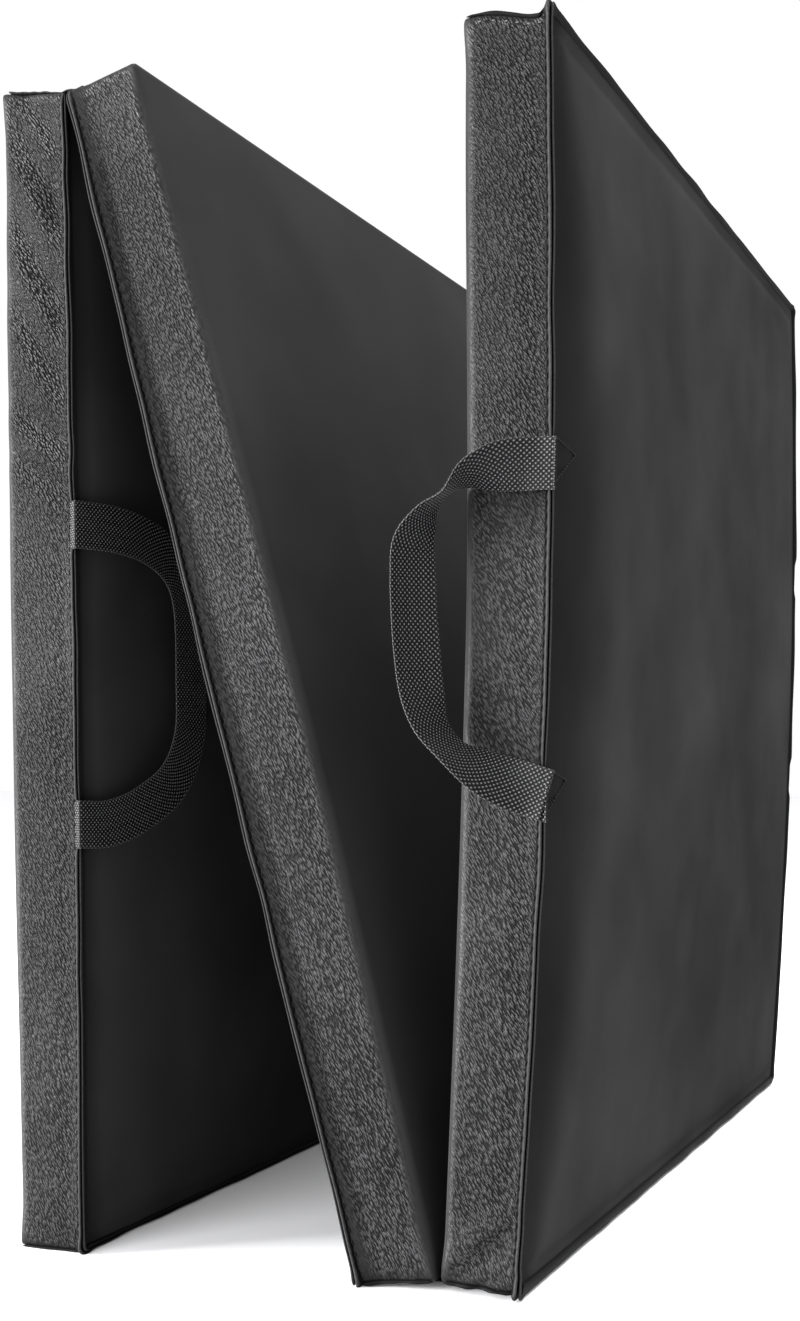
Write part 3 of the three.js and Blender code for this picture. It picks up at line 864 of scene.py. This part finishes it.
def hinge_strip(where, panels, section, slack, crinkle, inset, material):
    """A strip of leathercloth along a fold line, from its section in the row frame's XZ plane, in mm.
    slack is how far each place of the section stands up at the strip's two ends, and inset how far in the
    ends lie."""
    section = np.array(section, float)
    travelled = np.concatenate(([0], np.cumsum(np.linalg.norm(np.diff(section, axis=0), axis=1))))
    width = travelled[-1]
    wanted = np.linspace(0, width, round(width / STRIP_STEP) + 1)
    path = np.column_stack([np.interp(wanted, travelled, section[:, k]) for k in (0, 1)])
    low = panels[0].origin[1] / MM + inset
    high = low + panels[0].depth - 2 * inset
    way = unit(np.gradient(path, axis=0))
    normal = np.column_stack((-way[:, 1], way[:, 0]))
    normal *= np.sign(normal[:, 1].sum()) or 1

    def place(u, v, off):
        x, z = (path[:, k, None] + normal[:, k, None] * off for k in (0, 1))
        return np.stack((x, v, z), -1)

    u, v = np.meshgrid(wanted, np.linspace(low, high, STRIP_PLACES), indexing="ij")
    to_end = np.minimum(v - low, high - v)
    fade = 1 - smooth(u, 0.55 * width, 0.7 * width)
    lift = crinkle * fade * (0.35 + 0.65 * np.exp(-to_end / 25)) * np.abs(uneven(u, v, 21, 13))
    lift += np.interp(wanted, travelled, slack)[:, None] * bell(to_end + inset, SLACK_DEPTH)
    points, quads = open_strip(u, v, lift, place)
    strip = make_mesh(f"{where}_hinge_strip", points * MM, quads, material)
    set_attribute(strip, "grain", np.full(len(points), 0.5))
    set_attribute(strip, "shade", np.full(len(points), 1.0))
    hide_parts(*(f"{where}_hinge_{p.side}_leaf" for p in panels))
    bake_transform(strip)


def xz(panel, s, h):
    """A place on a panel's end, in the row frame's XZ plane, in mm."""
    point = panel.world(np.array([[s, 0.0, h]]))[0] / MM
    return (point[0], point[2])


def make_top_hinge(left, middle, material):
    """From the left panel's upper end, over the fold line, onto the middle panel's."""
    x, _, z = joint_place("fold_top") / MM
    rise = 0.35
    places = (37, 28, 20, 12, 4)
    section = [xz(left, THICKNESS - w, left.height + rise) for w in places]
    section += [(x - 1.5, z + 0.1), (x + 1.5, z + 0.1)]
    section += [xz(middle, THICKNESS - w, middle.height + rise) for w in (3, 6, 8)]
    slack = [float(left.top_rise(THICKNESS - w, left.height, 0)) for w in places] + [0.0] * 5
    hinge_strip("top", (left, middle), section, slack, 0.5, 1.5, material)


def make_bottom_hinge(middle, right, material):
    """From the middle panel's lower end, under the fold line, onto the right panel's."""
    x, _, z = joint_place("fold_bottom") / MM
    section = [xz(middle, 16, -3.9), xz(middle, 9, -5.2), xz(middle, 3, -6.6)]
    section += [(x - 0.8, z - 0.6), (x + 0.8, z - 0.6)]
    section += [xz(right, s, -0.9) for s in (3, 9, 16)]
    hinge_strip("bottom", (middle, right), section, [0.0] * len(section), 0.0, 7.0, material)


# ---- materials

GRAIN_TURN = (0.0, math.radians(34), 0.0)


class Surface:
    """A procedural material in the making."""

    def __init__(self, name):
        self.material = bpy.data.materials.new(name)
        self.material.use_nodes = True
        self.nodes = self.material.node_tree.nodes
        self.links = self.material.node_tree.links
        self.shader = self.nodes["Principled BSDF"]

    def put(self, socket, value):
        """Sets a socket, or links it where the value is another node's output."""
        if isinstance(value, bpy.types.NodeSocket):
            self.links.new(value, socket)
        else:
            socket.default_value = value

    def node(self, kind, inputs):
        node = self.nodes.new(f"ShaderNode{kind}")
        for name, value in inputs.items():
            self.put(node.inputs[name], value)
        return node

    def mapped(self, scale, turn=(0, 0, 0)):
        """Object coordinates in millimetres, turned, then scaled."""
        where = self.node("TexCoord", {}).outputs["Object"]
        turned = self.node("Mapping", {"Vector": where, "Rotation": turn}).outputs["Vector"]
        size = [v / MM for v in scale]
        return self.node("Mapping", {"Vector": turned, "Scale": size}).outputs["Vector"]

    def maths(self, operation, a, b):
        node = self.node("Math", {0: a, 1: b})
        node.operation = operation
        return node.outputs[0]

    def ranged(self, value, low, high, to_low, to_high):
        """The value, with low to high stretched to to_low to to_high."""
        inputs = {"Value": value, "From Min": low, "From Max": high, "To Min": to_low, "To Max": to_high}
        return self.node("MapRange", inputs).outputs["Result"]

    def noise(self, place, scale, detail, output="Fac"):
        inputs = {"Vector": place, "Scale": scale, "Detail": detail}
        return self.node("TexNoise", inputs).outputs[output]

    def cells(self, place, scale, smoothness):
        """How far each place is from the nearest of many scattered cells, rounded off between them."""
        node = self.node("TexVoronoi", {"Vector": place, "Scale": scale})
        node.feature = "SMOOTH_F1"
        node.inputs["Smoothness"].default_value = smoothness
        return node.outputs["Distance"]

    def attribute(self, name):
        node = self.node("Attribute", {})
        node.attribute_name = name
        return node.outputs["Fac"]

    def ramp(self, value, tones):
        """A grey for each value, very slightly blue."""
        node = self.node("ValToRGB", {"Fac": value})
        elements = node.color_ramp.elements
        while len(elements) < len(tones):
            elements.new(0.5)
        for element, (place, shade) in zip(elements, tones):
            element.position = place
            element.color = (shade, shade, shade * 1.02, 1)
        return node.outputs["Color"]

    def shaded(self, tone):
        """The colour, with light and shade painted in where the shade attribute says so."""
        mix = self.node("Mix", {})
        mix.data_type = "RGBA"
        mix.clamp_factor = False
        mix.inputs["A"].default_value = (0.0, 0.0, 0.0, 1)
        self.put(mix.inputs["Factor"], self.attribute("shade"))
        self.put(mix.inputs["B"], tone)
        return mix.outputs["Result"]

    def finished(self, colour, roughness, specular, relief, depth, strength=1.0, pits=False):
        """The material, its relief depth mm deep, and cut into it instead where pits is set."""
        bump = self.node("Bump", {"Height": relief, "Distance": depth * MM, "Strength": strength})
        bump.invert = pits
        self.put(self.shader.inputs["Normal"], bump.outputs["Normal"])
        self.put(self.shader.inputs["Base Color"], colour)
        self.put(self.shader.inputs["Roughness"], roughness)
        self.put(self.shader.inputs["Specular IOR Level"], specular)
        return self.material


def leathercloth(name, shade, roughness, specular, depth):
    """Black leathercloth: stretched pebble grain, deepest where the grain attribute says, with painted shade
    in its hollows and painted highlight on its pebbles.
    """
    cloth = Surface(name)
    place = cloth.mapped((1.05, 0.75, 0.36), GRAIN_TURN)
    wobble = cloth.noise(place, 0.55, 1.0, "Color")
    warped = cloth.node("VectorMath", {0: wobble, 1: (0.25, 0.25, 0.25), 2: place})
    warped.operation = "MULTIPLY_ADD"
    pebbles = cloth.ranged(cloth.cells(warped.outputs[0], 1.0, 0.35), 0.1, 0.75, 1.0, 0.0)
    fine = cloth.maths("MULTIPLY", cloth.noise(place, 3.0, 2.0), 0.12)
    height = cloth.maths("ADD", pebbles, fine)
    patches = cloth.noise(cloth.mapped((0.012, 0.012, 0.012)), 1.0, 4.0)
    varied = cloth.ranged(patches, 0.35, 0.65, 0.65, 1.15)
    strength = cloth.maths("MULTIPLY", varied, cloth.attribute("grain"))
    # Painted shade in the grain's hollows and painted highlight on its pebbles: the colour follows the
    # relief's height.
    contrast = cloth.maths("MULTIPLY", cloth.maths("SUBTRACT", height, 0.55), 1.7)
    grain_light_and_shade = cloth.maths("ADD", cloth.maths("MULTIPLY", contrast, strength), 0.48)
    tone = cloth.ramp(grain_light_and_shade, [(0.0, shade * 0.12), (0.4, shade * 0.8), (1.0, shade * 1.9)])
    rough = cloth.ranged(patches, 0.3, 0.7, roughness - 0.05, roughness + 0.05)
    return cloth.finished(cloth.shaded(tone), rough, specular, height, depth, strength)


def smooth_cloth(name, shade, roughness, specular):
    """The big faces: the same leathercloth, drawn smooth, with a faint grain and soft cloudy wear."""
    cloth = Surface(name)
    cells = cloth.cells(cloth.mapped((0.9, 0.8, 0.5), GRAIN_TURN), 5.0, 0.6)
    clouds = cloth.noise(cloth.mapped((0.009, 0.009, 0.009)), 1.0, 5.0)
    tone = cloth.ramp(clouds, [(0.3, shade * 0.75), (0.7, shade * 1.25)])
    rough = cloth.ranged(clouds, 0.3, 0.7, roughness - 0.04, roughness + 0.04)
    return cloth.finished(cloth.shaded(tone), rough, specular, cells, 0.12, 0.5, pits=True)


def seam_leathercloth(shade):
    """Folded leathercloth, paler along the tips of its lips: painted highlight, with some wear."""
    cloth = Surface("seam_leathercloth")
    grain = cloth.noise(cloth.mapped((1.0, 0.8, 0.55), GRAIN_TURN), 1.0, 2.0)
    # Painted highlight, with some wear, on the lips' tips.
    wear = cloth.maths("MULTIPLY", cloth.attribute("lip_highlight_and_wear"), cloth.ranged(grain, 0.3, 0.7, 0.6, 1.0))
    tone = cloth.ramp(wear, [(0.0, shade * 0.3), (1.0, shade * 3.6)])
    return cloth.finished(tone, 0.6, 0.05, grain, 0.15)


def woven_webbing():
    """Woven polyester: nubs in the geometry, painted shade between them and painted highlight on their tops
    and selvedges, and fine fibres in the bump.
    """
    weave = Surface("webbing_black")
    fibres = weave.noise(weave.mapped((1, 1, 1)), 4.5, 3.0)
    # Painted highlight on the nubs and selvedges, painted shade between the nubs.
    lit = weave.maths("MULTIPLY", weave.attribute("nub"), weave.ranged(fibres, 0.3, 0.7, 0.6, 1.0))
    tone = weave.ramp(lit, [(0.0, 0.0005), (0.35, 0.01), (1.0, 0.25)])
    rough = weave.ranged(fibres, 0.3, 0.7, 0.5, 0.7)
    return weave.finished(tone, rough, 0.12, fibres, 0.12, 0.6)


def sewing_thread(name, shade):
    """Twisted thread."""
    thread = Surface(name)
    twist = thread.noise(thread.mapped((1, 1, 2.5), (0.6, 0.4, 0)), 3.0, 2.0)
    tone = thread.ramp(twist, [(0.3, shade * 0.6), (0.7, shade * 1.6)])
    return thread.finished(tone, 0.6, 0.1, twist, 0.1)


def pale_foam():
    """Pale open-cell foam."""
    foam = Surface("foam_pale")
    cells = foam.node("TexVoronoi", {"Vector": foam.mapped((1, 1, 1)), "Scale": 1.1}).outputs["Distance"]
    tone = foam.ramp(cells, [(0.0, 0.45), (0.5, 0.72)])
    return foam.finished(tone, 0.9, 0.5, cells, 0.4)


def pale_floor():
    """A plain floor, so pale that it burns out around the mat."""
    floor = Surface("floor_pale")
    clouds = floor.noise(floor.mapped((0.002, 0.002, 0.002)), 1.0, 3.0)
    floor.put(floor.shader.inputs["Base Color"], floor.ramp(clouds, [(0.3, 0.86), (0.7, 0.9)]))
    floor.shader.inputs["Roughness"].default_value = 0.8
    floor.shader.inputs["Specular IOR Level"].default_value = 0.2
    floor.shader.inputs["Emission Color"].default_value = (1, 1, 1, 1)
    floor.shader.inputs["Emission Strength"].default_value = 0.06
    return floor.material


# ---- the studio

def add_camera():
    yaw = Matrix.Rotation(math.radians(CAMERA_YAW), 4, "Z")
    pitch = Matrix.Rotation(math.radians(90 - CAMERA_PITCH), 4, "X")
    roll = Matrix.Rotation(math.radians(CAMERA_ROLL), 4, "Z")
    data = bpy.data.cameras.new("camera")
    data.sensor_width = 36
    data.sensor_height = 36
    data.sensor_fit = "VERTICAL"
    data.lens = CAMERA_LENS
    data.shift_x, data.shift_y = CAMERA_SHIFT
    data.clip_start = 0.05
    camera = bpy.data.objects.new("camera", data)
    bpy.context.scene.collection.objects.link(camera)
    camera.matrix_world = Matrix.Translation(CAMERA_PLACE) @ yaw @ pitch @ roll
    bpy.context.scene.camera = camera


def add_light(name, place, target, size, power):
    data = bpy.data.lights.new(name, "AREA")
    data.shape = "RECTANGLE"
    data.size, data.size_y = size
    data.energy = power
    light = bpy.data.objects.new(name, data)
    light.location = place
    light.rotation_euler = (Vector(target) - Vector(place)).to_track_quat("-Z", "Y").to_euler()
    bpy.context.scene.collection.objects.link(light)


def add_studio():
    world = bpy.data.worlds.new("studio")
    bpy.context.scene.world = world
    world.use_nodes = True
    background = world.node_tree.nodes["Background"]
    background.inputs["Color"].default_value = (1, 1, 1, 1)
    background.inputs["Strength"].default_value = 1.0
    for name, facts in LIGHTS.items():
        add_light(name, *facts)
    corners = [(x * FLOOR_SIDE, y * FLOOR_SIDE, 0) for x, y in ((-1, -1), (1, -1), (1, 1), (-1, 1))]
    floor = make_mesh("floor", corners, [(0, 1, 2, 3)], pale_floor())
    bpy.context.scene.view_settings.view_transform = "Standard"


# ---- everything

add_camera()
add_studio()

wall_cloth = leathercloth("leathercloth_grained", 0.018, 0.45, 0.1, 1.5)
face_cloth = smooth_cloth("leathercloth_smooth", 0.029, 0.65, 0.0)
# The plain faces get a darker copy of the smooth cloth: painted shade for the wedge between the middle and
# right panels.
plain_face_shaded_copy = smooth_cloth("leathercloth_plain_face_shaded_copy", 0.021, 0.6, 0.02)
seam_cloth = seam_leathercloth(0.011)
strip_cloth = leathercloth("leathercloth_strip", 0.006, 0.5, 0.1, 0.3)
foam_cells = pale_foam()
webbing = woven_webbing()
thread = sewing_thread("thread_black", 0.005)
worn_thread = sewing_thread("thread_grey", 0.07)

panels = {side: Panel(side, **facts) for side, facts in PANELS.items()}
for each in panels.values():
    make_foam(each, foam_cells)
    make_cover(each, wall_cloth, plain_face_shaded_copy)
    make_face(each, face_cloth)
    make_seam(each, seam_cloth)
    for wall in ("front", "rear"):
        make_seam_stitches(each, wall, thread)
    make_hems(each, (False,) if each.tucked else (False, True), seam_cloth)
make_topstitches(panels["right"], worn_thread)

for side, facts in HANDLES.items():
    make_handle(panels[side], **facts, material=webbing)
    for end, root in (("upper", 0), ("lower", -1)):
        make_tail(panels[side], end, facts["route"][root], webbing)
        make_tack(panels[side], end, thread)

make_top_hinge(panels["left"], panels["middle"], strip_cloth)
make_bottom_hinge(panels["middle"], panels["right"], strip_cloth)

bpy.context.view_layer.update()
